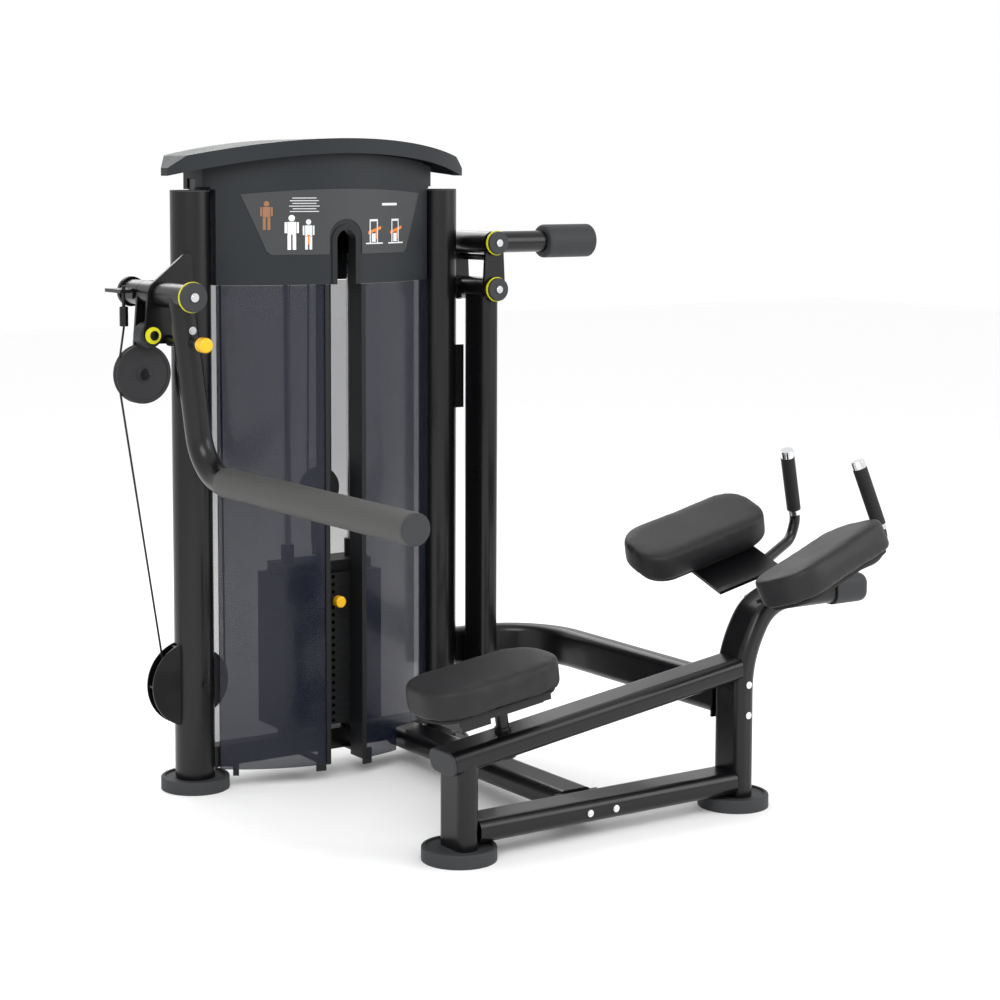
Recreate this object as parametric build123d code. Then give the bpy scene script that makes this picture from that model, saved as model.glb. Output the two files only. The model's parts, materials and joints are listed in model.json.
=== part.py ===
from build123d import *
import math
import os

# Selectorised glute kick-back machine. +X runs along the tower's front, from the press arm
# towards the elbow pads, -Y is the side where the user kneels, +Z is up. Millimetres.
# Every piece is placed from the left column's axis, and the whole machine is centred on its
# floor box only when it is written.

# ---- driving dimensions -------------------------------------------------------------------
COLUMN_D = 93.2            # round tower columns
COLUMN_SPACING = 679.0
COLUMN_TOP = 1396.0
COLUMN_WALL = 4.0
TUBE_WIDE = 95.0           # flat-oval frame tube
TUBE_THIN = 50.0
TUBE_CORNER = 20.0
TUBE_WALL = 4.0
PAD_D = 161.0              # rubber floor pads
PAD_T = 30.0
POCKET_Z = 8.0             # depth left under a tube in its floor pad

BENCH_Y = -798.0           # middle plane of the bench frame
FRONT_POST_X = 213.0
REAR_POST_X = 966.0
REAR_POST_TOP = 470.0      # centre line of its level end
REAR_POST_RADII = [270, 105]
LOWER_BEAM_Z = 61.0
UPPER_BEAM_SLOPE = 8.0     # degrees
UPPER_BEAM_END_X = 176.0
UPPER_BEAM_END_Z = 213.5
BEAM_HALF = 20.0           # half depth of the tower's base beam
BOARD_T = 6.0              # plywood board under each cushion
CROSS_TUBE_X = 556.0
KNEE_POST_X = 328.0
REAR_TUBE_Z = 252.0
REAR_TUBE_BEND = 190.0

TOWER_MID = COLUMN_SPACING / 2
FRONT_BOW_HALF = 289.5     # the bowed front of the head and shields, seen from above
FRONT_BOW_EDGE_Y = -30.0
FRONT_BOW_MID_Y = -130.0
HEAD_BOTTOM = 1180.0
HEAD_TIER_HALF = 313.0     # wider band of the head, over the column tops
ROOF_HALF = 403.0
SHIELD_BOTTOM = 40.0
SLOT_HALF = 44.0           # half the opening between the two front shields

STACK_BOTTOM = 118.0
PLATE_W = 268.0
PLATE_D = 130.0
PLATE_PITCH = 18.4
PLATE_GAP = 0.5
PLATE_COUNT = 20
PIN_PLATE = 4              # the pin sits in this plate, counted from the top
ROD_HALF_SPACING = 88.0
ROD_D = 20.0
ROD_TOP = 1256.0

PIVOT_X = -100.0           # press arm pivot, parallel to Y
PIVOT_Z = 1165.0
SHAFT_D = 30.0
HUB_D = 57.0
ARM_Y = -150.0
ARM_LEAN = 7.3             # degrees from vertical at rest
ARM_D = 60.0
ROLLER_Z = 755.0
ROLLER_D = 67.0
ROLLER_LENGTH = 780.0
ROLLER_START_Y = -252.0
HOLE_RADIUS = 106.0        # start-position holes, from the pivot
CAM_Y = -58.0              # front face of the cam plate
CAM_T = 8.0

SWING_PULLEY_X = -126.0
SWING_PULLEY_Z = 982.0
SWING_PULLEY_R = 68.0
SWING_GROOVE_R = 58.0
FLOOR_PULLEY_X = 4.0
FLOOR_PULLEY_Z = 252.0
FLOOR_PULLEY_R = 80.0
FLOOR_GROOVE_R = 73.0
TOP_PULLEY_Z = 1330.0
TOP_PULLEY_R = 57.0
TOP_GROOVE_R = 50.0
LIFT_PULLEY_Z = 684.0
LIFT_PULLEY_R = 50.0
LIFT_GROOVE_R = 29.0
PULLEY_T = 20.0
CABLE_D = 5.0

COUNTER_X = 760.0          # counterbalance lever, on the right-hand post
COUNTER_LOW_Z = 1156.0
COUNTER_HIGH_Z = 1269.0
RIGHT_POST_Y = -74.5
COUNTERWEIGHT_X = (941.0, 1086.0)

KNEE_PAD = (269.0, 400.5, 345.0, 190.0, 72.0)          # x, top z, length, width, thickness
ELBOW_PAD = (1016.0, 210.0, 616.6, 345.0, 177.0, 74.0)  # x, half spacing, top z, length, width, t
ELBOW_TILT = (16.6, 17.0, -9.7)                         # rise, roll and toe-in in degrees

parts = {}


# ---- shared shapes ------------------------------------------------------------------------
def keep(name, shape):
    """File a sub-part under its node name."""
    parts[name] = Compound(children=list(shape.solids()))


def solids(*shapes):
    """Collect shapes as separate solids of one node."""
    found = []
    for shape in shapes:
        found.extend(shape.solids())
    return Compound(children=found)


def rod(start, end, radius, bore=0.0):
    """Round bar or tube from one point to another."""
    a, b = Vector(*start), Vector(*end)
    plane = Plane(origin=a, z_dir=b - a)
    bar = extrude(plane * Circle(radius), amount=(b - a).length)
    if bore:
        bar -= extrude(plane * Circle(bore), amount=(b - a).length)
    return bar


def along_y(x, z, y_from, y_to, radius, bore=0.0):
    """Round bar or tube parallel to Y."""
    return rod((x, y_from, z), (x, y_to, z), radius, bore)


def block(x, y, z):
    """Box given by its low and high limits along each axis."""
    size = (x[1] - x[0], y[1] - y[0], z[1] - z[0])
    return Pos((x[0] + x[1]) / 2, (y[0] + y[1]) / 2, (z[0] + z[1]) / 2) * Box(*size)


def oval_section(shrink=0.0):
    """Section of the flat-oval tube, wide along its local X."""
    return RectangleRounded(TUBE_WIDE - 2 * shrink, TUBE_THIN - 2 * shrink, TUBE_CORNER - shrink)


def oval_tube(start, end, across, shrink=0.0, hollow=True):
    """Straight flat-oval tube whose wide side runs along the given direction."""
    a, b = Vector(*start), Vector(*end)
    plane = Plane(origin=a, x_dir=across, z_dir=b - a)
    tube = extrude(plane * oval_section(shrink), amount=(b - a).length)
    if hollow:
        tube -= extrude(plane * oval_section(TUBE_WALL), amount=(b - a).length)
    return tube


def bent_oval_tube(points, radii, across):
    """Flat-oval tube swept along straight runs joined by tangent arcs."""
    path = FilletPolyline(*points, radius=radii)
    plane = Plane(origin=points[0], x_dir=across, z_dir=path.tangent_at(0))
    outer = sweep(plane * oval_section(), path=path)
    inner = sweep(plane * oval_section(TUBE_WALL), path=path)
    return outer - inner


def rounded_plate_xz(discs, y_from, y_to):
    """Plate around several discs (x, z, radius), joined by their outer tangents."""
    sketch = make_hull([e for x, z, r in discs for e in (Pos(x, z) * Circle(r)).edges()])
    upright = Plane(origin=(0, y_from, 0), x_dir=(1, 0, 0), z_dir=(0, -1, 0))
    return extrude(upright * sketch, amount=y_from - y_to)


def bow_y(x, inset=0.0):
    """Y of the bowed front at a given x, moved back by an inset."""
    sag = FRONT_BOW_EDGE_Y - FRONT_BOW_MID_Y
    radius = (FRONT_BOW_HALF ** 2 + sag ** 2) / (2 * sag)
    centre_y = FRONT_BOW_MID_Y + radius
    return centre_y - math.sqrt((radius - inset) ** 2 - (x - TOWER_MID) ** 2)


def bow_plan(x_from, x_to, outer, inner):
    """Plan face between two bowed lines, given by their insets."""
    mid = (x_from + x_to) / 2
    points = [[(x, bow_y(x, inset)) for x in (x_from, mid, x_to)] for inset in (outer, inner)]
    front = ThreePointArc(*points[0])
    back = ThreePointArc(*points[1])
    sides = [Line(points[0][i], points[1][i]) for i in (0, 2)]
    return make_face([front, back, *sides])


def pulley(x, y, z, radius, groove, bore, thickness=PULLEY_T):
    """Grooved wheel turning about an axis parallel to Y, with a dished web."""
    half = thickness / 2
    rim = 2.5
    profile = Polyline(
        (bore, -half), (radius, -half), (radius, -half + rim), (groove, -CABLE_D / 2),
        (groove, CABLE_D / 2), (radius, half - rim), (radius, half), (bore, half), close=True)
    wheel = revolve(make_face(profile), axis=Axis.Y)
    recess = Circle(radius - 8) - Circle(bore + 10)
    upright = Plane(origin=(0, -half, 0), x_dir=(1, 0, 0), z_dir=(0, -1, 0))
    wheel -= extrude(upright * recess, amount=-1.5)
    return Pos(x, y, z) * wheel


def bolt(point, direction, head=8.0, shank=0.0):
    """Domed cap bolt; its head stands out of the surface along the direction."""
    plane = Plane(origin=point, z_dir=direction)
    cap = extrude(plane * Circle(head), amount=3.5)
    cap += extrude(plane.offset(3.5) * Circle(head * 0.68), amount=2.0)
    if shank:
        cap += extrude(plane * Circle(head * 0.5), amount=-shank)
    return cap


# ---- tower --------------------------------------------------------------------------------
def build_columns():
    r = COLUMN_D / 2
    for name, x in (("left_column", 0.0), ("right_column", COLUMN_SPACING)):
        tube = rod((x, 0, POCKET_Z), (x, 0, COLUMN_TOP), r, r - COLUMN_WALL)
        if name == "left_column":
            tube -= block((-60, 60), (-15, 15), (FLOOR_PULLEY_Z - 92, FLOOR_PULLEY_Z + 92))
        keep(name, tube)
    caps = []
    for x in (0.0, COLUMN_SPACING):
        dome = Pos(x, 0, COLUMN_TOP) * Cylinder(r, 4, align=(Align.CENTER, Align.CENTER, Align.MIN))
        dome = fillet(dome.faces().sort_by(Axis.Z)[-1].edges(), 3)
        plug = rod((x, 0, COLUMN_TOP - 18), (x, 0, COLUMN_TOP), r - COLUMN_WALL - 0.1)
        caps.append(dome + plug)
    keep("column_caps", solids(*caps))


def build_floor_pads():
    pads = []
    r = COLUMN_D / 2
    for x in (0.0, COLUMN_SPACING):
        pocket = rod((x, 0, POCKET_Z), (x, 0, PAD_T + 1), r)
        pads.append(floor_pad(x, 0.0) - pocket)
    for x in (FRONT_POST_X, REAR_POST_X):
        pocket = oval_tube((x, BENCH_Y, POCKET_Z), (x, BENCH_Y, PAD_T + 1), (0, 1, 0), hollow=False)
        pads.append(floor_pad(x, BENCH_Y) - pocket)
    keep("floor_pads", solids(*pads))


def floor_pad(x, y):
    """Rubber disc with a rounded upper rim and a shallow step inside it."""
    disc = rod((x, y, 0), (x, y, PAD_T), PAD_D / 2)
    disc = fillet(disc.faces().sort_by(Axis.Z)[-1].edges(), 4)
    step = rod((x, y, PAD_T - 4), (x, y, PAD_T + 1), PAD_D / 2 - 9)
    return disc - step


def column_envelope(x, grow=0.0):
    """Solid space that a column fills, for trimming what is welded to it."""
    return rod((x, 0, 0), (x, 0, COLUMN_TOP + 10), COLUMN_D / 2 + grow)


def build_tower_beams():
    envelopes = column_envelope(0) + column_envelope(COLUMN_SPACING)
    base = block((30, COLUMN_SPACING - 30), (-BEAM_HALF, BEAM_HALF), (44, 94))
    base -= block((0, COLUMN_SPACING), (4 - BEAM_HALF, BEAM_HALF - 4), (48, 90))
    rod_holes = [rod((TOWER_MID + s * ROD_HALF_SPACING, 0, 80),
                     (TOWER_MID + s * ROD_HALF_SPACING, 0, 100), ROD_D / 2) for s in (-1, 1)]
    keep("base_beam", largest(base - envelopes - rod_holes[0] - rod_holes[1]))
    top = block((30, COLUMN_SPACING - 30), (26, 66), (1385, 1425)) - envelopes
    keep("top_beam", largest(top))
    rails = []
    for s in (-1, 1):
        x = TOWER_MID + s * ROD_HALF_SPACING
        arm = block((x - 20, x + 20), (-18, 52), (ROD_TOP - 10, ROD_TOP))
        arm += block((x - 20, x + 20), (40, 52), (ROD_TOP - 10, 1385))
        rails.append(arm - rod((x, 0, ROD_TOP - 20), (x, 0, ROD_TOP + 10), ROD_D / 2))
    keep("rod_brackets", solids(*rails))


def largest(shape):
    """The biggest solid of a shape."""
    return max(shape.solids(), key=lambda s: s.volume)


def build_guide_rods():
    rods = []
    buffers = []
    for s in (-1, 1):
        x = TOWER_MID + s * ROD_HALF_SPACING
        rods.append(rod((x, 0, 90), (x, 0, ROD_TOP), ROD_D / 2))
        buffers.append(rod((x, 0, 94), (x, 0, STACK_BOTTOM - 0.3), 26, ROD_D / 2))
    keep("guide_rods", solids(*rods))
    keep("stack_buffers", solids(*buffers))


# ---- head, roof and shields ---------------------------------------------------------------
def arch_profile(bottom_end, bottom_mid, top, inset=0.0):
    """Arched outline of the head in the XZ plane; top lists (x offset, z) to the middle."""
    left, right = TOWER_MID - ROOF_HALF + inset, TOWER_MID + ROOF_HALF - inset
    lower = ThreePointArc((left, bottom_end), (TOWER_MID, bottom_mid), (right, bottom_end))
    tip_z, shoulder_in, shoulder_z, apex_z = top
    shoulders = [(left + shoulder_in, shoulder_z), (right - shoulder_in, shoulder_z)]
    upper = ThreePointArc(shoulders[0], (TOWER_MID, apex_z), shoulders[1])
    edges = [lower, upper, Line((left, bottom_end), (left, tip_z)), Line((left, tip_z), shoulders[0]),
             Line((right, bottom_end), (right, tip_z)), Line((right, tip_z), shoulders[1])]
    upright = Plane(origin=(0, -220, 0), x_dir=(1, 0, 0), z_dir=(0, -1, 0))
    return extrude(upright * make_face(edges), amount=-400)


def roof_plan(inset=0.0):
    """Plan of the roof: bowed front, blunt tips and a straight back."""
    left, right = TOWER_MID - ROOF_HALF + inset, TOWER_MID + ROOF_HALF - inset
    front = ThreePointArc((left, -14), (TOWER_MID, -162 + inset), (right, -14))
    corners = [(right, -14), (right, 20), (right - 45, 92 - inset), (left + 45, 92 - inset),
               (left, 20), (left, -14)]
    return make_face([front, Polyline(*corners)])


def build_roof():
    body = extrude(Plane.XY.offset(1400) * roof_plan(), amount=160)
    shell = body & arch_profile(1432, 1484, (1450, 35, 1478, 1519))
    inner = extrude(Plane.XY.offset(1400) * roof_plan(4), amount=160)
    shell -= inner & arch_profile(1400, 1452, (1446, 35, 1474, 1515), 4)
    keep("roof_cover", largest(shell))


def head_plan(inset=0.0, half=FRONT_BOW_HALF):
    """Plan of the head box between the columns."""
    left, right = TOWER_MID - half + inset, TOWER_MID + half - inset
    points = [(x, bow_y(x, inset)) for x in (left, TOWER_MID, right)]
    back = 86 - inset
    corners = [points[2], (right, back), (left, back), points[0]]
    return make_face([ThreePointArc(*points), Polyline(*corners)])


def slot_cutter(half_width, top_z, y_from=-200, y_to=-40):
    """Round-topped slot in the middle of the head's front."""
    column = block((TOWER_MID - half_width, TOWER_MID + half_width), (y_from, y_to),
                   (HEAD_BOTTOM - 20, top_z - half_width))
    return column + along_y(TOWER_MID, top_z - half_width, y_from, y_to, half_width)


def build_head():
    box = extrude(Plane.XY.offset(HEAD_BOTTOM) * head_plan(), amount=225)
    box += extrude(Plane.XY.offset(COLUMN_TOP + 5) * head_plan(0, HEAD_TIER_HALF), amount=100)
    box -= extrude(Plane.XY.offset(HEAD_BOTTOM - 1) * head_plan(4), amount=230)
    box -= extrude(Plane.XY.offset(COLUMN_TOP + 9) * head_plan(4, HEAD_TIER_HALF), amount=110)
    box &= arch_profile(1000, 1001, (1431, 1, 1431.6, 1483.6))
    for x in (0, COLUMN_SPACING):
        box -= column_envelope(x, 0.3)
    box -= block((0, COLUMN_SPACING), (25.7, 66.3), (1384, 1426))
    keep("head_cover", largest(box - slot_cutter(38, 1320)))
    frame = slot_cutter(37.9, 1319.9) - slot_cutter(25, 1307)
    ring = extrude(Plane.XY.offset(HEAD_BOTTOM) * bow_plan(
        TOWER_MID - 42, TOWER_MID + 42, -3, 30), amount=150)
    keep("slot_frame", largest(frame & ring))
    panel = extrude(Plane.XY.offset(1250) * bow_plan(
        TOWER_MID - 245, TOWER_MID + 245, -1.6, -0.1), amount=160)
    outline = [(TOWER_MID - 243, 1390), (TOWER_MID - 190, 1259), (TOWER_MID - 180, 1250),
               (TOWER_MID + 180, 1250), (TOWER_MID + 190, 1259), (TOWER_MID + 243, 1390)]
    edge = [Line((a[0], a[1]), (b[0], b[1])) for a, b in zip(outline, outline[1:])]
    crown = ThreePointArc(outline[0], (TOWER_MID, 1402), outline[-1])
    upright = Plane(origin=(0, -220, 0), x_dir=(1, 0, 0), z_dir=(0, -1, 0))
    face = extrude(upright * make_face([*edge, crown]), amount=-200)
    keep("placard", largest((panel & face) - slot_cutter(44, 1332)))


def build_shields():
    top = HEAD_BOTTOM - 1
    spans = {"left_shield": (TOWER_MID - FRONT_BOW_HALF + 3, TOWER_MID - SLOT_HALF - 5),
             "right_shield": (TOWER_MID + SLOT_HALF + 5, TOWER_MID + FRONT_BOW_HALF - 3)}
    for name, (x_from, x_to) in spans.items():
        sheet = extrude(Plane.XY.offset(SHIELD_BOTTOM) * bow_plan(x_from, x_to, 4, 8),
                        amount=top - SHIELD_BOTTOM)
        keep(name, sheet - block((CROSS_TUBE_X - 60, CROSS_TUBE_X + 68), (-200, 0), (0, 96)))
    trims = []
    for s in (-1, 1):
        x = TOWER_MID + s * (SLOT_HALF + 2)
        y = bow_y(x, 2)
        bar = block((x - 2.5, x + 2.5), (y, y + 55), (SHIELD_BOTTOM, top))
        lip_x = (x - 2.5, x + 9) if s > 0 else (x - 9, x + 2.5)
        y_lip = bow_y(TOWER_MID + s * (SLOT_HALF + 11), 2)
        lip = block(lip_x, (min(y, y_lip) - 1, min(y, y_lip) + 1), (SHIELD_BOTTOM, top))
        trims.append(bar + lip)
    keep("shield_trims", solids(*trims) - parts["left_shield"] - parts["right_shield"])
    rear = block((24, COLUMN_SPACING - 24), (70, 73), (SHIELD_BOTTOM + 20, top))
    keep("rear_shield", rear)
    feet = []
    for x in (78.0, TOWER_MID - SLOT_HALF - 20, TOWER_MID + SLOT_HALF + 20):
        y = min(bow_y(x - 12, 8), bow_y(x + 12, 8)) - 1
        foot = block((x - 12, x + 12), (y, y + 9), (SHIELD_BOTTOM - 16, SHIELD_BOTTOM + 22))
        foot += block((x - 12, x + 12), (y, -BEAM_HALF), (SHIELD_BOTTOM + 6, SHIELD_BOTTOM + 12))
        feet.append(largest(foot - extrude(Plane.XY.offset(SHIELD_BOTTOM - 30) * bow_plan(
            x - 14, x + 14, -10, 8.1), amount=70)))
    keep("shield_feet", solids(*feet))


# ---- weight stack -------------------------------------------------------------------------
def weight_plate(index):
    """One plate of the stack, counted from the bottom, with its bores and pin slot."""
    low = STACK_BOTTOM + index * PLATE_PITCH
    high = low + PLATE_PITCH - PLATE_GAP
    plate = block((TOWER_MID - PLATE_W / 2, TOWER_MID + PLATE_W / 2),
                  (-PLATE_D / 2, PLATE_D / 2), (low, high))
    for s in (-1, 1):
        x = TOWER_MID + s * ROD_HALF_SPACING
        plate -= rod((x, 0, low - 1), (x, 0, high + 1), ROD_D / 2 + 1.5)
    plate -= rod((TOWER_MID, 0, low - 1), (TOWER_MID, 0, high + 1), 13.5)
    return plate - along_y(TOWER_MID, (low + high) / 2, -PLATE_D / 2 - 1, 0, 5.0)


def pin_height():
    """Height of the selector pin."""
    low = STACK_BOTTOM + (PLATE_COUNT - PIN_PLATE) * PLATE_PITCH
    return low + (PLATE_PITCH - PLATE_GAP) / 2


def build_stack():
    resting = PLATE_COUNT - PIN_PLATE
    keep("resting_plates", solids(*[weight_plate(i) for i in range(resting)]))
    keep("lifted_plates", solids(*[weight_plate(i) for i in range(resting, PLATE_COUNT)]))
    low = STACK_BOTTOM + PLATE_COUNT * PLATE_PITCH
    head = block((TOWER_MID - 122, TOWER_MID + 122), (-45, 45), (low, low + 26))
    head = fillet(head.edges().filter_by(Axis.Z), 8)
    collars = []
    for s in (-1, 1):
        x = TOWER_MID + s * ROD_HALF_SPACING
        head -= rod((x, 0, low - 1), (x, 0, low + 30), ROD_D / 2 + 1.5)
        collars.append(rod((x, 0, low + 26), (x, 0, low + 68), 16, ROD_D / 2 + 0.6))
    head -= rod((TOWER_MID, 0, low - 1), (TOWER_MID, 0, low + 30), 10)
    keep("carriage_head", head)
    keep("rod_collars", solids(*collars))
    stem = rod((TOWER_MID, 0, STACK_BOTTOM + 6), (TOWER_MID, 0, low - 0.2), 12)
    stem += rod((TOWER_MID, 0, low - 0.2), (TOWER_MID, 0, low + 40), 9.9)
    z = pin_height()
    for i in range(PLATE_COUNT):
        level = STACK_BOTTOM + i * PLATE_PITCH + (PLATE_PITCH - PLATE_GAP) / 2
        stem -= along_y(TOWER_MID, level, -13, 13, 4.5)
    keep("selector_stem", stem)
    pin = along_y(TOWER_MID, z, -PLATE_D / 2 - 6, 11, 4.0)
    pin += along_y(TOWER_MID, z, -PLATE_D / 2 - 18, -PLATE_D / 2 - 2, 9)
    keep("selector_pin", pin)
    knob = along_y(TOWER_MID, z, -PLATE_D / 2 - 40, -PLATE_D / 2 - 18, 14)
    knob = fillet(knob.edges(), 5)
    keep("selector_knob", knob)


def build_lift_pulley():
    top = STACK_BOTTOM + PLATE_COUNT * PLATE_PITCH + 40
    cheeks = []
    for y in (-17.0, 13.0):
        cheek = rounded_plate_xz([(TOWER_MID, LIFT_PULLEY_Z, 16), (TOWER_MID, top + 20, 13)], y, y + 4)
        cheeks.append(cheek - along_y(TOWER_MID, LIFT_PULLEY_Z, y - 1, y + 5, 6))
    yoke = block((TOWER_MID - 13, TOWER_MID + 13), (-13, 13), (top - 4, top + 24))
    yoke -= rod((TOWER_MID, 0, top - 10), (TOWER_MID, 0, top + 0.1), 9.9)
    keep("lift_yoke", cheeks[0] + cheeks[1] + yoke)
    keep("lift_pulley", pulley(TOWER_MID, 0, LIFT_PULLEY_Z, LIFT_PULLEY_R, LIFT_GROOVE_R, 6.05))
    pin = along_y(TOWER_MID, LIFT_PULLEY_Z, -17, 17, 6)
    heads = [along_y(TOWER_MID, LIFT_PULLEY_Z, y, y + 4, 10) for y in (-21, 17)]
    keep("lift_pulley_pin", pin + heads[0] + heads[1])


# ---- cable pulleys ------------------------------------------------------------------------
def top_pulley_x():
    """X of the two pulleys in the head."""
    return (FLOOR_PULLEY_X + FLOOR_GROOVE_R + TOP_GROOVE_R, TOWER_MID - LIFT_GROOVE_R - TOP_GROOVE_R)


def build_pulleys():
    keep("floor_pulley", pulley(FLOOR_PULLEY_X, 0, FLOOR_PULLEY_Z, FLOOR_PULLEY_R,
                                FLOOR_GROOVE_R, 8.05))
    axle = along_y(FLOOR_PULLEY_X, FLOOR_PULLEY_Z, -52, 52, 8)
    wall = column_envelope(0) - rod((0, 0, 0), (0, 0, COLUMN_TOP), COLUMN_D / 2 - COLUMN_WALL)
    keep("floor_pulley_axle", axle)
    parts["left_column"] = parts["left_column"] - (axle & wall)
    guards = []
    for y in (-16.0, 13.0):
        disc = along_y(-15, FLOOR_PULLEY_Z, y, y + 3, 100)
        disc -= block((-36, 200), (-40, 40), (0, 600))
        guards.append(disc - column_envelope(0))
    spacers = [along_y(-15 + 93 * math.cos(math.radians(a)), FLOOR_PULLEY_Z
                       + 93 * math.sin(math.radians(a)), -13, 13, 4) for a in (112, 180, 248)]
    guard = guards[0] + guards[1]
    for spacer in spacers:
        guard += spacer
    keep("floor_pulley_guard", guard)
    names = ("top_pulley_left", "top_pulley_right")
    pins = []
    for name, x in zip(names, top_pulley_x()):
        keep(name, pulley(x, 0, TOP_PULLEY_Z, TOP_PULLEY_R, TOP_GROOVE_R, 6.05))
        pins.append(along_y(x, TOP_PULLEY_Z, -20, 26, 6))
        plate = block((x - 16, x + 16), (26, 32), (TOP_PULLEY_Z - 18, 1385))
        pins.append(plate)
    keep("top_pulley_brackets", solids(pins[0] + pins[1], pins[2] + pins[3]))
    x = TOWER_MID + LIFT_GROOVE_R
    anchor = rod((x, 0, 1300), (x, 0, 1350), 9) + block((x - 14, x + 14), (-12, 34), (1350, 1358))
    anchor += block((x - 14, x + 14), (26, 34), (1350, 1385))
    keep("cable_end_anchor", anchor)


# ---- press arm ----------------------------------------------------------------------------
def build_pivot():
    housing = along_y(PIVOT_X, PIVOT_Z, 26, 100, HUB_D / 2, SHAFT_D / 2 + 3)
    web = block((PIVOT_X, 0), (28, 38), (PIVOT_Z - 28, PIVOT_Z + 28))
    web += block((PIVOT_X, 0), (28, 60), (PIVOT_Z - 5, PIVOT_Z + 5))
    web = web - along_y(PIVOT_X, PIVOT_Z, 0, 120, HUB_D / 2 - 1) - column_envelope(0)
    web = Compound(children=[s for s in web.solids() if s.center().X < -10])
    keep("pivot_housing", housing + web)
    bushes = []
    for y_from, y_to in ((26, 44), (82, 100)):
        bushes.append(along_y(PIVOT_X, PIVOT_Z, y_from, y_to, SHAFT_D / 2 + 3, SHAFT_D / 2 + 0.05))
    keep("pivot_bushes", solids(*bushes))
    bracket = block((-184, -156), (-13, 70), (1168, 1176))
    bracket += block((-157, -130), (25, 70), (1168, 1176))
    bracket += block((-134, -128), (30, 70), (1152, 1168))
    bracket -= along_y(PIVOT_X, PIVOT_Z, -60, 120, HUB_D / 2)
    stem = rod((-170, 0, 1137), (-170, 0, 1184), 4)
    sleeve = fillet(rod((-170, 0, 1092), (-170, 0, 1137), 10).edges(), 2)
    keep("cable_anchor_bracket", largest(bracket - rod((-170, 0, 1100), (-170, 0, 1200), 4)))
    keep("cable_anchor_sleeve", sleeve + stem)


def build_cam():
    hub = along_y(PIVOT_X, PIVOT_Z, CAM_Y + CAM_T, 24, HUB_D / 2, SHAFT_D / 2)
    plate = rounded_plate_xz([(-38, 1246, 12), (-104, 1166, 33), (-126, 1073, 19), (-30, 1068, 16)],
                             CAM_Y, CAM_Y + CAM_T)
    plate -= along_y(PIVOT_X, PIVOT_Z, CAM_Y - 1, CAM_Y + 20, SHAFT_D / 2)
    for step in (0, 1, 2):
        angle = math.radians(ARM_LEAN + 1.0 + 15.0 * step)
        plate -= along_y(PIVOT_X + HOLE_RADIUS * math.sin(angle),
                         PIVOT_Z - HOLE_RADIUS * math.cos(angle), CAM_Y - 1, CAM_Y + 20, 6.2)
    keep("cam_plate", plate)
    arm = rounded_plate_xz([(PIVOT_X, PIVOT_Z, HUB_D / 2), (SWING_PULLEY_X, SWING_PULLEY_Z, 18)],
                           14, 22)
    arm -= along_y(PIVOT_X, PIVOT_Z, 10, 30, HUB_D / 2)
    arm = largest(arm) - along_y(SWING_PULLEY_X, SWING_PULLEY_Z, 10, 30, 8)
    keep("cam_hub", hub)
    keep("pulley_hanger", arm)
    shaft = along_y(PIVOT_X, PIVOT_Z, -206, 104, SHAFT_D / 2)
    keep("pivot_shaft", shaft)
    rear_cap = fillet(along_y(PIVOT_X, PIVOT_Z, 104, 112, 35).edges(), 2)
    front_cap = fillet(along_y(PIVOT_X, PIVOT_Z, -214, -206.0, 33).edges(), 2)
    keep("pivot_end_caps", solids(rear_cap, front_cap))
    keep("pivot_cap_bolt", bolt((PIVOT_X, -214, PIVOT_Z), (0, -1, 0), 10))
    keep("pivot_wear_washer", along_y(PIVOT_X, PIVOT_Z, -206.0, -203.2, 34.5, SHAFT_D / 2))
    keep("pivot_rear_washer", along_y(PIVOT_X, PIVOT_Z, 101.2, 104, 34.5, SHAFT_D / 2))
    bumper = fillet(along_y(-126, 1073, CAM_Y + CAM_T, -14, 29).edges(), 3)
    keep("cam_bumper", bumper)
    keep("bumper_washer", along_y(-126, 1073, CAM_Y - 3, CAM_Y, 19))
    keep("bumper_bolt", along_y(-126, 1073, CAM_Y - 9, CAM_Y - 3, 11))
    keep("swing_pulley", pulley(SWING_PULLEY_X, 0, SWING_PULLEY_Z, SWING_PULLEY_R,
                                SWING_GROOVE_R, 8.05))
    stud = along_y(SWING_PULLEY_X, SWING_PULLEY_Z, -11, 28, 8)
    stud += along_y(SWING_PULLEY_X, SWING_PULLEY_Z, -17, -11, 13)
    keep("swing_pulley_stud", stud + along_y(SWING_PULLEY_X, SWING_PULLEY_Z, 22, 30, 13))


def arm_foot_x():
    """X of the press arm's end, where it meets the roller's axis."""
    return PIVOT_X + (PIVOT_Z - ROLLER_Z) * math.tan(math.radians(ARM_LEAN))


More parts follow.
